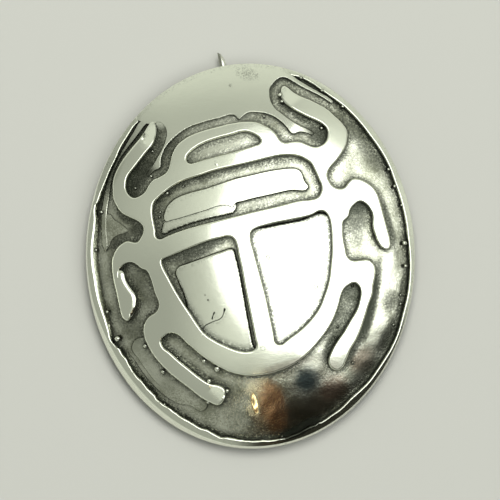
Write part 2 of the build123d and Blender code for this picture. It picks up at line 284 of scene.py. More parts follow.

# Tarnish and painted reflections of the room's dark, copper and blue corners, in the order it is laid on: the
# same six values, and its colour
tarnish_and_reflection_places = [
    (308, 385, 20, 17, 0, 0.5, (0.5, 0.52, 0.47)), (308, 383, 13, 12, 0, 1.0, (0.1, 0.13, 0.13)),
    (308, 411, 44, 17, 62, 0.9, (0.15, 0.14, 0.1)), (118, 163, 50, 6, 25, 0.5, (0.5, 0.52, 0.42)),
    (309, 84, 26, 4, 120, 0.5, (0.5, 0.52, 0.42)), (273, 407, 26, 14, 165, 0.9, (0.45, 0.3, 0.19)),
    (335, 388, 15, 12, 60, 0.5, (0.42, 0.28, 0.21)), (363, 361, 15, 11, 30, 0.5, (0.45, 0.31, 0.24)),
    (288, 366, 24, 5, 75, 0.6, (0.42, 0.38, 0.33)),
]

# The rim's outer side: its width in mm every 45 degrees from the right, and its rows as (up, share inwards)
outer_slope = (0.12, 0.14, 0.1, 0.2, 0.2, 0.85, 0.34, 0.22)
slope_rows = ((3.08, 0), (0.2, 0.12), (0.2, 0.33), (0.15, 0.58), (0.08, 0.8), (0.03, 1), (1.3, 1))

# The pin's point is ground on one side only: rows from the stem on, as (onward, radius, aside) in mm
point_rows = (
    (0.35, 0.43, 0.02), (0.35, 0.385, 0.045), (0.3, 0.32, 0.065), (0.25, 0.24, 0.08), (0.2, 0.15, 0.09),
    (0.1, 0.08, 0.07), (0.05, 0.03, 0.05),
)
rivet_head_rows = ((0.06, 0.96), (0.04, 0.8), (0.02, 0.5))  # up in mm, and the share that is left

# Rounded edges: rows out and down from the flat top, in mm
soft_edge = ((0.02, 0), (0.1, 0.02), (0.09, 0.05), (0.05, 0.07))
bar_edge = ((0.02, 0), (0.06, 0.01), (0.07, 0.05), (0.09, 0.15))
sharp_edge = ((0.015, 0), (0.025, 0.01), (0.025, 0.03), (0.03, 0.07))
strip_slope = ((0.02, 0), (0.1, 0.2))
leg_slope_rows = ((0.2, 0.06), (0.18, 0.09), (0.1, 0.09))
solder_rows = ((0.04, 0.14), (0.09, 0.14), (0.16, 0.1))

# Colours of the metal
polished = (0.92, 0.94, 0.82)
dull_ground = (0.38, 0.39, 0.3)
worn_ground = (0.82, 0.83, 0.71)
# The black of patina and painted shade
patina_and_shade_black = (0.045, 0.05, 0.038)
# The gold of a painted glint
painted_glint_gold = (1.0, 0.9, 0.62)
dull_wire = (0.66, 0.66, 0.58)
bright_wire = (0.87, 0.88, 0.8)
# The dark of the painted shade on one side of the pin's point
shaded_wire = (0.2, 0.205, 0.17)

# What the silver mirrors
panel_white = (2.5, 2.55, 2.45)
room_dark = (0.02, 0.02, 0.014)
copper_glow = (0.19, 0.115, 0.06)
rust_glow = (0.15, 0.075, 0.05)
blue_glow = (0.05, 0.075, 0.075)
gold_glow = (4.6, 4.1, 2.8)


def spot(column, row):
    """A pixel of the photograph as a place on the plate, following the oval's own sizes."""
    right = column - photo_middle[0]
    up = photo_middle[1] - row
    across = right * math.cos(photo_lean) + up * math.sin(photo_lean)
    along = up * math.cos(photo_lean) - right * math.sin(photo_lean)
    return Vector((across / photo_half_width * width / 2, along / photo_half_length * length / 2, 0))


def places(table):
    return [spot(column, row) for column, row in table]


def smooth(share):
    """From 0 to 1 with a soft start and end."""
    return share * share * (3 - 2 * share)


def pick(piece):
    """Only this piece is selected and active."""
    if bpy.context.object and bpy.context.object.mode != "OBJECT":
        bpy.ops.object.mode_set(mode="OBJECT")
    bpy.ops.object.select_all(action="DESELECT")
    piece.select_set(True)
    bpy.context.view_layer.objects.active = piece


def edit(piece):
    """Opens the piece with all of it selected."""
    pick(piece)
    bpy.ops.object.mode_set(mode="EDIT")
    bpy.ops.mesh.select_mode(type="VERT")
    bpy.ops.mesh.select_all(action="SELECT")


def leave():
    bpy.ops.object.mode_set(mode="OBJECT")


def extrude(up, aside=0):
    bpy.ops.mesh.extrude_region_move(TRANSFORM_OT_translate={"value": (aside, 0, up)})


def close(piece):
    """Turns the faces of the solid in edit mode outwards, and leaves edit mode."""
    bpy.ops.mesh.select_all(action="SELECT")
    bpy.ops.mesh.normals_make_consistent(inside=False)
    leave()
    return piece


def in_place():
    """The primitive that was just added, with its place in its mesh."""
    piece = bpy.context.object
    pick(piece)
    bpy.ops.object.transform_apply(location=True, rotation=True, scale=True)
    return piece


def sheet_inside(outlines, steps, straight=()):
    """A flat filled sheet inside smooth closed outlines. Those after the first are openings in it."""
    curve = bpy.data.curves.new("sheet", "CURVE")
    curve.dimensions = "2D"
    curve.fill_mode = "FRONT"
    curve.resolution_u = steps
    for outline in outlines:
        spline = curve.splines.new("BEZIER")
        spline.bezier_points.add(len(outline) - 1)
        for knot, place in zip(spline.bezier_points, outline):
            knot.co = place
            corner = any((place - other).length < 1e-6 for other in straight)
            knot.handle_left_type = knot.handle_right_type = "VECTOR" if corner else "AUTO"
        spline.use_cyclic_u = True
    sheet = bpy.data.objects.new("sheet", curve)
    bpy.context.scene.collection.objects.link(sheet)
    pick(sheet)
    bpy.ops.object.convert(target="MESH")
    return bpy.context.object


def grid_cuts(sheet):
    """Cuts across and along a flat sheet, so that its wide faces can follow the dome."""
    edit(sheet)
    for axis in (0, 1):
        normal = [0, 0, 0]
        normal[axis] = 1
        reaches = [vertex.co[axis] for vertex in bmesh.from_edit_mesh(sheet.data).verts]
        for step in range(math.ceil(min(reaches) / grid_step), math.floor(max(reaches) / grid_step) + 1):
            bpy.ops.mesh.select_all(action="SELECT")
            bpy.ops.mesh.bisect(plane_co=[share * step * grid_step for share in normal], plane_no=normal)
    leave()


def draw_in(piece, inward):
    """Moves the selected outline of a sheet or wall inwards, along the flat.

    Where an edge would fold or get much shorter, its ends are relaxed.
    """
    sharpest, shortest, relax_turns = 0.6, 0.15, 60
    mesh = bmesh.from_edit_mesh(piece.data)
    corners = [edge.link_loops[0] for edge in mesh.edges if edge.select and len(edge.link_loops) == 1]
    after = {corner.vert: corner.link_loop_next.vert for corner in corners}
    before = {second: first for first, second in after.items()}
    moved = {}
    for vertex in after:
        comes = (vertex.co - before[vertex].co).normalized()
        goes = (after[vertex].co - vertex.co).normalized()
        middle = Vector((-comes.y - goes.y, comes.x + goes.x, 0)).normalized()
        moved[vertex] = vertex.co + middle * inward / max(sharpest, middle.dot((-goes.y, goes.x, 0)))
    for turn in range(relax_turns):
        folded = {
            vertex
            for vertex, ahead in after.items()
            if (moved[ahead] - moved[vertex]).dot(ahead.co - vertex.co)
            < shortest * (ahead.co - vertex.co).length_squared
        }
        loose = folded | {after[vertex] for vertex in folded}
        moved.update({vertex: (moved[before[vertex]] + moved[after[vertex]]) / 2 for vertex in loose})
    for vertex, place in moved.items():
        vertex.co = place
    bmesh.update_edit_mesh(piece.data)


def raised(outlines, steps, top, straight=(), foot=-0.3, draft=0.05, rows=()):
    """Metal inside the outlines, from foot up to top, with a rounded edge and a slightly sloped wall.

    rows go out and down from the flat top, in mm.
    """
    piece = sheet_inside(outlines, steps, straight)
    edit(piece)
    bpy.ops.mesh.remove_doubles(threshold=1e-4)
    bpy.ops.transform.translate(value=(0, 0, top))
    bpy.ops.mesh.region_to_loop()
    draw_in(piece, draft + sum(out for out, down in rows))
    bpy.ops.mesh.select_mode(type="EDGE")
    bpy.ops.mesh.select_all(action="INVERT")
    bpy.ops.mesh.delete(type="EDGE")
    bpy.ops.mesh.select_mode(type="VERT")
    bpy.ops.mesh.select_all(action="SELECT")
    bpy.ops.mesh.fill()
    bpy.ops.mesh.select_all(action="SELECT")
    if sum(face.normal.z for face in bmesh.from_edit_mesh(piece.data).faces) < 0:
        bpy.ops.mesh.flip_normals()
    leave()
    grid_cuts(piece)
    edit(piece)
    bpy.ops.mesh.region_to_loop()
    wall = top - sum(down for out, down in rows)
    for out, down in (*rows, (draft, wall), (0, -foot)):
        bpy.ops.mesh.extrude_edges_move(TRANSFORM_OT_translate={"value": (0, 0, -down)})
        draw_in(piece, -out)
    bpy.ops.mesh.fill()
    return close(piece)


def joined(pieces):
    """Several pieces as one mesh."""
    pick(pieces[0])
    for piece in pieces:
        piece.select_set(True)
    bpy.ops.object.join()
    return bpy.context.object


def worked(piece, kind, **settings):
    """The piece after one modifier."""
    pick(piece)
    modifier = piece.modifiers.new("work", kind)
    for name, value in settings.items():
        setattr(modifier, name, value)
    bpy.ops.object.modifier_apply(modifier=modifier.name)
    return piece


def cast(blank, metal, operation="UNION"):
    """One boolean step of the casting. The second piece is used up."""
    worked(blank, "BOOLEAN", operation=operation, solver="MANIFOLD", object=metal)
    bpy.data.objects.remove(metal)
    return blank


def crack_outline(table):
    """A crack's narrow outline, pointed at both ends."""
    middles = places(table)
    sides = [
        (after - before).normalized().cross(upright) * crack_half_width
        for before, after in zip(middles[:-2], middles[2:])
    ]
    one_side = [middle + side for middle, side in zip(middles[1:-1], sides)]
    other_side = [middle - side for middle, side in zip(middles[1:-1], sides)]
    return [middles[0], *one_side, middles[-1], *other_side[::-1]]


def sink(piece, start, end, keep, reach, limit=99):
    """Metal gets lower from start to end, down to keep times its height, within reach in mm of the line.

    What lies further on than limit times the way to the end stays.
    """
    start, end = spot(*start), spot(*end)
    way = end - start
    for vertex in piece.data.vertices:
        past = (vertex.co - start).dot(way) / way.length_squared
        aside = abs((vertex.co - start).cross(way).z) / way.length
        if vertex.co.z > 0 and 0 < past < limit and aside < reach:
            vertex.co.z *= 1 - (1 - keep) * smooth(min(past, 1))
    return piece


def lean_back(rim):
    """The rim's inner side is a wide slope at the beetle's left, and it is wavy round the tail."""
    widest, wave_size, wave_end = 0.6, 1.4, 8
    first, last = spot(95, 190).y, spot(95, 350).y
    for vertex in rim.data.vertices:
        along = (vertex.co.y - last) / (first - last)
        high = vertex.co.z / rim_height
        if vertex.co.x < 0 and 0 < along < 1 and high > 0:
            vertex.co.x -= widest * high * min(1, 4 * along * (1 - along)) ** 0.7
        elif vertex.co.x < wave_end and vertex.co.y < last and high > 0:
            inward = Vector((-vertex.co.x, -vertex.co.y, 0)).normalized()
            vertex.co += inward * (0.1 + 0.1 * noise.noise(vertex.co * wave_size))


def oval_block():
    """A block with the plate's oval section. Near its top its side slopes in, as wide as outer_slope says."""
    bpy.ops.mesh.primitive_circle_add(vertices=block_sides, radius=1, fill_type="NGON", location=(0, 0, 0))
    block = bpy.context.object
    edit(block)
    bpy.ops.transform.resize(value=(width / 2, length / 2, 1))
    bpy.ops.transform.translate(value=(0, 0, block_foot))
    for up, inward in slope_rows:
        extrude(up)
    close(block)
    rows, level = {}, block_foot
    for up, inward in slope_rows:
        level += up
        rows[round(level, 3)] = inward
    for vertex in block.data.vertices:
        turn = math.degrees(math.atan2(vertex.co.y / length, vertex.co.x / width)) % 360
        step = int(turn // 45)
        share = (1 - math.cos(math.radians((turn - 45 * step) * 4))) / 2
        across = outer_slope[step] * (1 - share) + outer_slope[(step + 1) % 8] * share
        inward = across * rows.get(round(vertex.co.z, 3), 0)
        vertex.co.x *= 1 - 2 * inward / width
        vertex.co.y *= 1 - 2 * inward / length
    return block


def swell_ground(plate):
    """The ground's gentle humps, and the waves of a cast surface."""
    face = [vertex for vertex in plate.data.vertices if vertex.co.z > -ground_wall / 2]
    for column, row, radius, up in swells:
        middle = spot(column, row)
        for vertex in face:
            near = 1 - (vertex.co.xy - middle.xy).length / (radius * pixel)
            if near > 0:
                vertex.co.z += up * smooth(near)
    for vertex in face:
        vertex.co.z += 0.02 * noise.noise(vertex.co * 0.7) + 0.008 * noise.noise(vertex.co * 2.1)


def ground_plate():
    """The blank: a thick grid, its top the waved ground."""
    bpy.ops.mesh.primitive_grid_add(x_subdivisions=grid_columns, y_subdivisions=grid_rows, size=1)
    plate = bpy.context.object
    edit(plate)
    bpy.ops.transform.resize(value=(grid_columns * grid_step, grid_rows * grid_step, 1))
    bpy.ops.transform.translate(value=(0, 0, -ground_wall))
    extrude(ground_wall)
    close(plate)
    swell_ground(plate)
    return plate


def small_ball(column, row, radius, up):
    place = spot(column, row)
    bpy.ops.mesh.primitive_ico_sphere_add(
        subdivisions=2, radius=radius * pixel, location=(place.x, place.y, up)
    )
    return in_place()


def drops():
    """The beads and rings of metal that stuck to the casting."""
    metal = [small_ball(*bead) for bead in beads]
    for column, row, radius, up in rings:
        place = spot(column, row)
        bpy.ops.mesh.primitive_torus_add(
            major_segments=20, minor_segments=6, major_radius=radius * pixel, minor_radius=ring_wire,
            location=(place.x, place.y, up),
        )
        metal.append(in_place())
    return joined(metal)


def flaws():
    """What the cracks and pits take out of the left wing's panel."""
    cuts = [
        raised([crack_outline(table)], 3, panel_height + 0.2, foot=crack_foot, draft=0.01)
        for table in (wing_crack, short_crack)
    ]
    return joined(cuts + [small_ball(*pit, panel_height + 0.02) for pit in pits])


def flat_casting():
    """The whole face in the flat, before it is domed."""
    plate = ground_plate()
    field = raised([places(field_edge + beyond_head)], 4, field_height, places(beyond_head), rows=sharp_edge)
    sink(field, (162, 157), (144, 178), keep=0.15, reach=1.2)
    sink(field, (292, 124), (316, 135), keep=0.3, reach=1.2)
    strip = raised([places(strip_edge)], 4, field_height, draft=0.03, rows=strip_slope)
    sink(strip, (143, 124), (112, 176), keep=0.38, reach=4.0)
    ramp = raised([places(moat_ramp)], 4, field_height, rows=soft_edge)
    sink(ramp, (160, 120), (160, 138), keep=0.02, reach=2.0)
    rim = raised([places(rim_edge + beyond_rim)], 4, rim_height, places(beyond_rim), rows=bar_edge)
    lean_back(rim)
    sink(rim, (99, 215), (140, 118), keep=0.61, reach=4.0)
    sink(rim, (352, 112), (288, 70), keep=0.61, reach=4.0)
    panels = [
        raised([places(table)], 5, top, draft=0.1, rows=rows)
        for table, top, rows in (
            (left_wing_panel, panel_height, soft_edge), (right_wing_panel, panel_height, soft_edge),
            (left_island, island_height, sharp_edge), (collar_panel, panel_height, sharp_edge),
        )
    ]
    lower_collar = raised([places(lower_collar_panel)], 5, lower_panel_height, rows=soft_edge)
    step = raised([places(ground_step)], 4, step_height, rows=sharp_edge)
    sink(step, (141, 372), (128, 349), keep=0.2, reach=3.0)
    second_step = raised([places(upper_step)], 4, upper_step_height, rows=sharp_edge)
    sink(second_step, (150, 378), (170, 390), keep=0.4, reach=2.0)
    lower = joined([lower_collar, step, second_step])
    openings = (head_slot, collar_opening, left_wing_opening, right_wing_opening)
    beetle = raised([places(table) for table in (beetle_outline, *openings)], 4, figure_height, rows=bar_edge)
    sink(beetle, (150, 152), (152.5, 121), keep=0.52, reach=1.0)
    sink(beetle, (300, 103), (284, 84), keep=0.7, reach=1.4)
    sink(beetle, (212, 397), (223, 385), keep=0.84, reach=1.1, limit=1.4)
    slope = raised([places(leg_slope)], 4, figure_height - 0.01, draft=0.04, rows=leg_slope_rows)
    specks = drops()
    for metal in (field, strip, ramp, rim, joined(panels), lower, slope, beetle, specks):
        plate = cast(plate, metal)
    plate = cast(plate, flaws(), "DIFFERENCE")
    return cast(plate, oval_block(), "INTERSECT")


def dome(across, along, level):
    """Height of the domed surface that lies `level` over the ground."""
    ring = math.sqrt((bend_across + level) ** 2 - across**2) + bend_along - bend_across
    return apex - bend_along + math.sqrt(ring**2 - along**2)


# At rest the tail's edge and the catch touch the surface, so the plate leans about tail_touch.
toward_head = Vector((-math.sin(pin_lean), math.cos(pin_lean), 0))
beside_pin = Vector((math.cos(pin_lean), math.sin(pin_lean), 0))
upright = Vector((0, 0, 1))
tail_reach = math.hypot(width / 2 * toward_head.x, length / 2 * toward_head.y)
tail_touch = -Vector(((width / 2) ** 2 * toward_head.x, (length / 2) ** 2 * toward_head.y, 0)) / tail_reach
head_lift = pin_height + pin_radius + pin_gap
rest_tilt = math.asin(head_lift / (2 * tail_reach))
to_rest = (
    Matrix.Scale(millimetre, 4)
    @ Matrix.Translation(origin_shift)
    @ Matrix.Translation(tail_touch)
    @ Matrix.Rotation(rest_tilt, 4, beside_pin)
    @ Matrix.Translation(-tail_touch)
)


def write_relief(piece, levels):
    """Keeps each point's height over the ground, in mm, for the silver's material."""
    relief = piece.data.attributes.new("relief", "FLOAT", "POINT")
    for point, level in zip(relief.data, levels):
        point.value = level


def domed(piece):
    """Bends the flat casting over the dome, and lays it at rest."""
    write_relief(piece, [vertex.co.z for vertex in piece.data.vertices])
    for vertex in piece.data.vertices:
        x, y, level = vertex.co
        if level > -ground_wall + 1e-3:
            share = max(0.0, min(1.0, (1 - (2 * x / width) ** 2 - (2 * y / length) ** 2) * lean_fade))
            x, y = (
                x * (1 + wall_lean * share * (level - figure_height) / bend_across),
                y * (1 + wall_lean * share * (level - figure_height) / bend_along),
            )
        vertex.co = to_rest @ Vector((x, y, dome(x, y, level)))


def standing(piece, middle, across, up, onward):
    """Stands a flat-built finding up at its place in the row's frame, in metres."""
    turn = Matrix((across, up, onward)).transposed().to_4x4()
    place = Matrix.Scale(millimetre, 4) @ Matrix.Translation(origin_shift + middle) @ turn
    for vertex in piece.data.vertices:
        vertex.co = place @ vertex.co
    return piece


def strap(outline, thickness, bevel):
    """A plain thick plate of one outline with rounded edges, its middle plane at z = 0."""
    corners = [Vector((*corner, 0)) for corner in outline]
    piece = sheet_inside([corners], 1, corners)
    edit(piece)
    bpy.ops.mesh.remove_doubles(threshold=1e-4)
    bpy.ops.mesh.dissolve_limited(angle_limit=0.01)
    bpy.ops.transform.translate(value=(0, 0, -thickness / 2))
    extrude(thickness)
    close(piece)
    return worked(
        piece, "BEVEL", width=bevel, segments=3, limit_method="ANGLE", angle_limit=math.radians(25)
    )


def solder(middle, half_across, half_along):
    """The solder's rounded foot where a finding meets the plate's underside, with its sides' halves in mm."""
    to_plate = to_rest.inverted()
    corners = []
    half_across += solder_spread
    half_along += solder_spread
    for across, along in ((-1, -1), (1, -1), (1, 1), (-1, 1)):
        place = middle + beside_pin * across * half_across + toward_head * along * half_along
        under = dome(place.x, place.y, -ground_wall)
        under += (place - tail_touch).dot(toward_head) * math.tan(rest_tilt)
        spread = to_plate @ ((place + origin_shift + Vector((0, 0, under))) * millimetre)
        corners.append(Vector((spread.x, spread.y, 0)))
    foot = raised([corners], 6, 0.4, foot=-0.25, draft=0.01, rows=solder_rows)
    for vertex in foot.data.vertices:
        x, y, level = vertex.co
        vertex.co = to_rest @ Vector((x, y, dome(x, y, -ground_wall - level)))
    edit(foot)
    bpy.ops.mesh.flip_normals()
    leave()
    return foot


def build_catch():
    """One bent strip, down from the plate, under the pin and up again to a short lip."""
    middle = Vector((pin_aside, 0, 0)) + toward_head * finding_along
    room = pin_radius + pin_gap
    reach = room + catch_strip
    bend, near_bend, inner_bend = 0.35, 0.12, 0.1
    lip_top, inner_top = catch_strip + catch_lip, catch_strip + inner_bend
    piece = strap(
        [
            (-reach, catch_top), (-reach, bend), (-reach + near_bend, near_bend), (-reach + bend, 0),
            (reach - bend, 0), (reach - near_bend, near_bend), (reach, bend), (reach, lip_top),
            (room, lip_top), (room, inner_top), (room - inner_bend, catch_strip),
            (-room + inner_bend, catch_strip), (-room, inner_top), (-room, catch_top),
        ],
        catch_length, 0.08,
    )
    standing(piece, middle, beside_pin, upright, -toward_head)
    foot = solder(middle - beside_pin * (room + catch_strip / 2), catch_strip / 2, catch_length / 2)
    return cast(piece, foot)


def arc(radius, start, step, count):
    """Points round the rivet, from its start and in steps of an angle in degrees."""
    turns = [math.radians(start + step * index) for index in range(count)]
    return [(radius * math.cos(turn), pin_height + radius * math.sin(turn)) for turn in turns]


def rod(radius, depth):
    """A round rod where the rivet is, along z."""
    bpy.ops.mesh.primitive_cylinder_add(
        vertices=32, radius=radius, depth=depth, location=(0, pin_height, 0)
    )
    return in_place()


def build_hinge_block():
    """Two cheeks with a rivet across them."""
    middle = Vector((pin_aside, 0, 0)) - toward_head * finding_along
    offset = knuckle_length / 2 + pin_gap + cheek_thickness / 2
    outline = arc(cheek_radius, -180, 15, 13) + [(cheek_radius, cheek_top), (-cheek_radius, cheek_top)]
    rivet = rod(rivet_radius, 2 * offset + cheek_thickness)
    for side in (1, -1):
        edit(rivet)
        bpy.ops.mesh.select_all(action="DESELECT")
        bpy.ops.mesh.select_mode(type="FACE")
        for face in bmesh.from_edit_mesh(rivet.data).faces:
            face.select_set(face.normal.z * side > 0.9)
        for up, share in rivet_head_rows:
            extrude(up * side)
            bpy.ops.transform.resize(value=(share, share, 1))
        leave()
    standing(rivet, middle, toward_head, upright, beside_pin)
    for side in (1, -1):
        cheek = strap(outline, cheek_thickness, 0.07)
        for vertex in cheek.data.vertices:
            vertex.co.z += side * offset
        rivet = cast(rivet, standing(cheek, middle, toward_head, upright, beside_pin))
        rivet = cast(rivet, solder(middle + beside_pin * side * offset, cheek_thickness / 2, cheek_radius))
    return rivet


def build_pin():
    """A bored knuckle round the rivet, a straight stem, and a point that is ground to one side."""
    hinge = Vector((pin_aside, 0, 0)) - toward_head * finding_along
    knuckle = strap(arc(knuckle_radius, 0, 11.25, 32), knuckle_length, 0.1)
    standing(knuckle, hinge, toward_head, upright, beside_pin)
    bpy.ops.mesh.primitive_circle_add(vertices=32, radius=pin_radius, fill_type="NGON", location=(0, 0, 0))
    stem = bpy.context.object
    edit(stem)
    head_reach = 1 / math.hypot(toward_head.x / (width / 2), toward_head.y / (length / 2)) + pin_overhang
    straight = finding_along + head_reach - sum(onward for onward, radius, aside in point_rows)
    end, before = Vector((0, 0, 0)), pin_radius
    for onward, radius, aside in ((straight, pin_radius, 0), *point_rows):
        extrude(onward, aside)
        end += Vector((aside, 0, onward))
        bpy.ops.transform.resize(value=(radius / before, radius / before, 1), center_override=end)
        before = radius
    close(stem)
    standing(stem, hinge + upright * pin_height, -beside_pin, upright, toward_head)
    bore = standing(rod(rivet_radius + pin_gap, 2 * knuckle_length), hinge, toward_head, upright, beside_pin)
    return cast(cast(knuckle, stem), bore, "DIFFERENCE")


class Value:
    """A number in a shader, for arithmetic. Each operation adds its Math node."""

    def __init__(self, paint, socket):
        self.paint = paint
        self.socket = socket

    def math(self, operation, *others):
        node = self.paint.node("ShaderNodeMath", {"operation": operation}, dict(enumerate((self, *others))))
        return node()

    def __add__(self, other):
        return self.math("ADD", other)

    def __sub__(self, other):
        return self.math("SUBTRACT", other)

    def __mul__(self, other):
        return self.math("MULTIPLY", other)

    def __truediv__(self, other):
        return self.math("DIVIDE", other)

    def __rsub__(self, other):
        return self.math("MULTIPLY", -1).math("ADD", other)

    __radd__ = __add__
    __rmul__ = __mul__

    def at_least(self, other):
        return self.math("MAXIMUM", other)

    def rise(self, low, high):
        """0 below low and 1 above high, smooth between."""
        return self.paint.node(
            "ShaderNodeMapRange", {"interpolation_type": "SMOOTHSTEP"}, {"Value": self, 1: low, 2: high}
        )()

    def between(self, low, high, soft):
        """1 between low and high, with soft edges."""
        return self.rise(low - soft, low + soft) * (1 - self.rise(high - soft, high + soft))


class Paint:
    """The nodes of one material or of the studio."""

    def __init__(self, owner):
        owner.use_nodes = True
        self.tree = owner.node_tree

    def node(self, kind, settings=None, sockets=None):
        """Adds a node: its settings first, then its sockets' values or links. Gives its outputs by name."""
        node = self.tree.nodes.new(kind)
        for name, value in (settings or {}).items():
            setattr(node, name, value)
        for name, value in (sockets or {}).items():
            self.feed(node.inputs[name], value)
        return lambda name=0: Value(self, node.outputs[name])

    def feed(self, socket, value):
        if isinstance(value, Value):
            self.tree.links.new(value.socket, socket)
        elif isinstance(value, (tuple, list)) and len(value) == 3 and socket.type == "RGBA":
            socket.default_value = (*value, 1)
        else:
            socket.default_value = value

    def mix(self, share, first, second):
        """A colour between two colours."""
        return self.node("ShaderNodeMix", {"data_type": "RGBA"}, {0: share, 6: first, 7: second})(2)

    def parts(self, vector):
        split = self.node("ShaderNodeSeparateXYZ", None, {0: vector})
        return split("X"), split("Y"), split("Z")


def studio():
    """A dim room with one broad white panel over the brooch's right side and a window beyond its head.

    east and north say how far a direction leans from straight up, in degrees.
    """
    world = bpy.data.worlds.new("studio")
    bpy.context.scene.world = world
    paint = Paint(world)
    x, y, z = paint.parts(paint.node("ShaderNodeTexCoord")("Generated"))
    east = x.math("ARCTAN2", z) * math.degrees(1)
    north = y.math("ARCTAN2", z) * math.degrees(1)

    # The panel: its south edge climbs and its north edge falls to the east, and its west edge is bowed
    south_edge = north - ((east - 30).at_least(0) * 0.6 - east.rise(12, 20) * 3)
    north_edge = north + (east - 24).at_least(0) * 0.6
    high, low = north.at_least(0), (0 - north).at_least(0)
    west_edge = east - high * high * 0.0155 - low * low * 0.028 - north.rise(3, 10) * 2
    panel = west_edge.rise(-13, -8) * (1 - east.rise(43.5, 45.9))
    panel = panel * south_edge.rise(-25, -21) * (1 - north_edge.rise(23.5, 26.5))

    # Its glow on the walls, the walls themselves, and the dark low part of the room
    glow = east.rise(-27, -4) * north.rise(-34, -21) * (1 - north.rise(16, 30)) * 0.34
    far_glow = east.rise(10, 24) * (1 - east.rise(40, 46)) * north.rise(10, 20) * (1 - north.rise(26, 38))
    wall = 0.36 + north.rise(-8, 10) * east.rise(-48, -24) * 0.15 - north.rise(12, 24) * 0.05
    wall = wall + north.rise(30, 43) * 0.27 - east.rise(44, 47) * 0.2 + (glow + far_glow * 0.22)
    wall = wall * (0.5 + z.rise(0.15, 0.5) * 0.5) + (1 - z.rise(0.1, 0.45)) * 0.5 * z.rise(-0.3, 0)
    dark = (1 - south_edge.rise(-33, -26)) * east.rise(-9, 2) * (1 - east.rise(70, 90)) * z.rise(0.2, 0.35)

    copper = east.between(2, 9, 3) * north.between(-42, -29, 3)
    rust = east.between(22, 27, 3) * north.between(-36, -27, 3)
    blue = east.between(14.5, 20, 2.5) * north.between(-33, -28.5, 2)
    gold = east.between(0.6, 2.0, 0.4) * north.between(-37, -30, 1.5)
    room = paint.node("ShaderNodeCombineColor", None, {0: wall * 0.96, 1: wall, 2: wall * 0.88})()
    for share, colour in (
        (dark, room_dark), (copper, copper_glow), (rust * 0.7, rust_glow), (panel, panel_white),
        (blue, blue_glow), (gold, gold_glow),
    ):
        room = paint.mix(share, room, colour)
    paint.feed(world.node_tree.nodes["Background"].inputs["Color"], room)


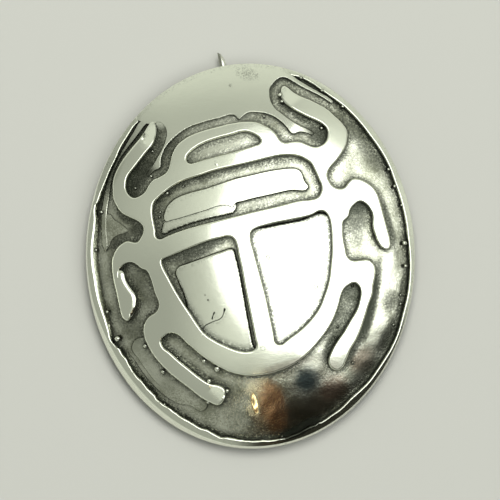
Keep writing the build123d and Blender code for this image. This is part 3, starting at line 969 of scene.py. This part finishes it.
def silver_finish():
    """Hand-finished silver: polished metal, a darker grainy ground, and nearly black feet of walls, partly
    patina and partly painted shade, with painted shadow, painted reflections and a painted glint.
    """
    silver = bpy.data.materials.new("silver")
    paint = Paint(silver)
    shader = silver.node_tree.nodes["Principled BSDF"]
    place = paint.node("ShaderNodeTexCoord")("Object")

    def mottle(size, detail=2.0, vector=place):
        """Light and dark in spots of about size, in mm."""
        sockets = {"Vector": vector, "Scale": 1000 / size, "Detail": detail}
        return paint.node("ShaderNodeTexNoise", None, sockets)("Fac")

    # Height over the ground in mm; the back has none of the face's blots of stains, painted shade and painted
    # reflections
    height = paint.node("ShaderNodeAttribute", {"attribute_name": "relief"})("Fac")
    front = height.rise(-0.6, -0.15)
    ground = 1 - height.rise(0.12, 0.36)
    top = height.rise(0.55, 0.9)
    grain = mottle(0.3, 3.0)
    fine = mottle(0.12)
    crumb = mottle(0.22, 1.0)
    cloud = mottle(2.6, 3.0)
    speck = (grain - 0.5) * 0.7 + (fine - 0.5) * 1.3
    ragged = (cloud - 0.5) * 0.9 + (grain - 0.5) * 1.2

    def shelter_within(reach, normal=None):
        """How much metal stands round a place, 0 to 1, seen as far as reach in mm."""
        sockets = {"Distance": reach / 1000} | ({"Normal": normal} if normal else {})
        occlusion = {"samples": 4, "only_local": True}
        return 1 - paint.node("ShaderNodeAmbientOcclusion", occlusion, sockets)("AO")

    # Shelter seen through a normal tilted north-west: it paints shadow on the south-east side of walls
    outward = paint.node("ShaderNodeNewGeometry")("Normal")
    leaning = {0: outward, 1: (-0.75, 0.75, 0)}
    toward_shadow_walls = paint.node("ShaderNodeVectorMath", {"operation": "ADD"}, leaning)("Vector")
    toward_shadow_walls = paint.node("ShaderNodeVectorMath", {"operation": "NORMALIZE"}, {0: toward_shadow_walls})("Vector")
    shelter = shelter_within(1.1)
    corner = shelter_within(0.32)
    shadow_side_shelter = shelter_within(0.7, toward_shadow_walls)

    def blot(column, row, long_half, short_half, lean, inner=0.05, outer=1.7):
        """1 inside a soft ragged oval of the face, leaning clockwise by lean degrees."""
        middle = to_rest @ spot(column, row)
        turn = math.radians(lean)
        right, up, out = paint.parts(place)
        right, up = (right - middle.x) * 1000 / pixel, (up - middle.y) * 1000 / pixel
        along = (right * math.sin(turn) + up * math.cos(turn)) / long_half
        across = (right * math.cos(turn) - up * math.sin(turn)) / short_half
        return (1 - (along * along + across * across + ragged).rise(inner, outer)) * front

    def blots(table):
        """The strongest of several blots at each place."""
        most = None
        for *oval, share in table:
            one = blot(*oval) * share
            most = most.at_least(one) if most else one
        return most

    # soot: patina and painted shade in the listed places
    soot_and_shade = blots(soot_and_shade_places)
    # clean: less patina and painted shade, and a lighter ground colour, in the listed places
    clean_and_unshaded = blots(clean_and_unshaded_places)
    # kept: how much patina and painted shade the clean places leave
    kept = 1 - clean_and_unshaded * 0.5

    # Black patina and painted shade at the feet of walls and in tight corners, painted shadow on the lee side
    # of walls, and patina with painted shade in the sooty places
    crumbs = (crumb - 0.5) * (3.4 - ground * 2.4) * shelter.rise(0, 0.12)
    foot = (shelter * (2.1 - ground * 0.85) + speck + crumbs).rise(0.14, 0.46) * shelter.rise(0.02, 0.1)
    line = (corner + (grain - 0.5) * 0.25).rise(0.16, 0.36)
    shade = (shadow_side_shelter + speck * 0.9).rise(0.26, 0.6) * shadow_side_shelter.rise(0.04, 0.2)
    black = (foot.at_least(shade) * kept).at_least(line)
    sooty_and_shaded = (soot_and_shade + (speck * 0.8 + (crumb - 0.5) * 0.7) * soot_and_shade.rise(0, 0.35)) * ground
    pepper = (crumb + (cloud - 0.5) * 0.3).rise(0.55, 0.7) * 0.3 * ground * shelter.rise(0, 0.1) * kept
    black = ((black * 0.75).at_least(sooty_and_shaded.at_least(pepper)) + soot_and_shade * foot * 0.2) * (1 - top * 0.97)
    smudge = (blot(247, 74, 15, 8, 100) * 0.5 + speck * 1.3).rise(0.3, 1.0) * blot(247, 74, 22, 12, 100)
    # A dark patch on the rim at the lower right
    dark_rim_patch = blot(302, 428.5, 25, 6, 63, 0.6, 1.2)
    black = black.at_least(smudge * 0.3).at_least(dark_rim_patch * 0.9)

    # worn: random wear of the ground, and lighter in the clean and unshaded places
    worn = (cloud + (grain - 0.5) * 0.6 + (fine - 0.5) * 0.8).rise(0.2, 0.75).at_least(clean_and_unshaded)
    colour = paint.mix(ground, polished, paint.mix(worn, dull_ground, worn_ground))
    # Tarnish, and painted reflections of the dark room and its coloured things, laid over the ground
    for *oval, share, tarnish_and_reflection_tint in tarnish_and_reflection_places:
        colour = paint.mix(blot(*oval) * share, colour, tarnish_and_reflection_tint)
    # A painted gold glint where the silver mirrors a warm lamp
    painted_glint = blot(255, 404, 11, 3.4, 170, 0.4, 1.5)
    colour = paint.mix(painted_glint, colour, painted_glint_gold)
    # cover: how far patina and painted shade darken the colour
    cover = (1 - (black * -3.0).math("EXPONENT")) * 1.05
    paint.feed(shader.inputs["Base Color"], paint.mix(cover, colour, patina_and_shade_black))
    paint.feed(shader.inputs["Metallic"], 1.0)
    paint.feed(shader.inputs["Roughness"], 0.12 + ground * 0.04 + black * 0.14 - painted_glint * 0.09)

    long_way = paint.node(
        "ShaderNodeMapping", None, {"Vector": place, "Rotation": (0, 0, 0.6), "Scale": (1, 12, 1)}
    )
    scratch = mottle(1.2, 3.0, long_way("Vector"))
    grit = grain * ground * (0.25 + shelter * 1.5) + fine * ground * (0.15 + shelter * 2)
    uneven = (grit + scratch * 0.05 + mottle(1.6) * 0.25) * (1 - painted_glint)
    bump = paint.node("ShaderNodeBump", None, {"Strength": 1.0, "Distance": 0.00003, "Height": uneven})
    paint.feed(shader.inputs["Normal"], bump("Normal"))
    return silver


def wire_finish():
    """Drawn silver wire: fine lines along the pin, a little dulled, and painted shade darkening one side of
    the point.
    """
    wire = bpy.data.materials.new("wire")
    paint = Paint(wire)
    shader = wire.node_tree.nodes["Principled BSDF"]
    place = paint.node("ShaderNodeTexCoord")("Object")
    turned = {"Vector": place, "Rotation": (0, 0, -pin_lean), "Scale": (1, 0.03, 1)}
    along = paint.node("ShaderNodeMapping", None, turned)("Vector")
    lines = {"Vector": along, "Scale": 14000.0, "Detail": 2.0}
    drawn = paint.node("ShaderNodeTexNoise", None, lines)("Fac")
    cloud = paint.node("ShaderNodeTexNoise", None, {"Vector": place, "Scale": 900.0, "Detail": 3.0})("Fac")
    colour = paint.mix(cloud.rise(0.35, 0.7), dull_wire, bright_wire)
    right, up, out = paint.parts(place)
    pin_line = (Vector((pin_aside, 0, 0)) + origin_shift).dot(beside_pin)
    aside = (right * beside_pin.x + up * beside_pin.y) * 1000 - pin_line
    # Painted shade on the point's left side
    shaded_side = (1 - aside.rise(-0.22, -0.02)) * (up * 1000).rise(21.5, 22.6)
    colour = paint.mix(shaded_side * 0.7, colour, shaded_wire)
    paint.feed(shader.inputs["Base Color"], colour)
    paint.feed(shader.inputs["Metallic"], 1.0)
    paint.feed(shader.inputs["Roughness"], 0.2 + cloud * 0.12)
    bump = paint.node("ShaderNodeBump", None, {"Strength": 0.6, "Distance": 0.00001, "Height": drawn})
    paint.feed(shader.inputs["Normal"], bump("Normal"))
    return wire


casting = flat_casting()
domed(casting)
casting.name = "silver_casting"
catch = build_catch()
catch.name = "catch"
hinge_block = build_hinge_block()
hinge_block.name = "hinge_block"
for finding in (catch, hinge_block):
    write_relief(finding, [-ground_wall] * len(finding.data.vertices))
pin_wire = build_pin()
pin_wire.name = "pin_wire"

for piece, sharp in ((casting, 40), (catch, 35), (hinge_block, 35), (pin_wire, 35)):
    pick(piece)
    bpy.ops.object.shade_smooth_by_angle(angle=math.radians(sharp))
    worked(piece, "WEIGHTED_NORMAL", keep_sharp=True, weight=80)

silver = silver_finish()
for piece in (casting, catch, hinge_block):
    piece.data.materials.clear()
    piece.data.materials.append(silver)
    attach(piece, "root")
    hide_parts("cast_plate")

pin_wire.data.materials.clear()
pin_wire.data.materials.append(wire_finish())
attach(pin_wire, "root")
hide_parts("pin")

# Floor, light and camera
bpy.ops.mesh.primitive_plane_add(size=1)
floor = bpy.context.object
floor.name = "floor"
paper = bpy.data.materials.new("paper")
paper.use_nodes = True
paper_shader = paper.node_tree.nodes["Principled BSDF"]
paper_shader.inputs["Base Color"].default_value = (0.438, 0.439, 0.421, 1)
paper_shader.inputs["Roughness"].default_value = 0.9
floor.data.materials.append(paper)

studio()
bpy.ops.object.light_add(type="AREA", location=(0.04, 0.3, 0.6))
window = bpy.context.object
window.data.shape = "DISK"
window.data.size = 0.35
window.data.energy = 3.2
window.data.color = (1.0, 1.0, 0.93)
window.visible_glossy = False
window.rotation_euler = window.location.to_track_quat("Z", "Y").to_euler()

bpy.context.scene.view_settings.view_transform = "Standard"

bpy.ops.object.camera_add()
camera = bpy.context.object
camera_distance = 1.2
shown_width = photo_side * pixel * millimetre
sensor = 36
camera.data.sensor_width = sensor
camera.data.lens = sensor * camera_distance / shown_width
camera.data.clip_start = 0.01
camera.data.clip_end = 10
plate_axes = to_rest.to_3x3().normalized()
half = photo_side / 2
sight = plate_axes @ upright
upward = plate_axes @ Vector((math.sin(photo_lean), math.cos(photo_lean), 0))
rightward = upward.cross(sight)
looked_at = to_rest @ Vector((0, 0, apex / 2))
frame_shift = rightward * (half - photo_middle[0]) + upward * (photo_middle[1] - half)
camera.location = looked_at + frame_shift * pixel * millimetre + sight * camera_distance
camera.rotation_euler = Matrix((rightward, upward, sight)).transposed().to_euler()
bpy.context.scene.camera = camera
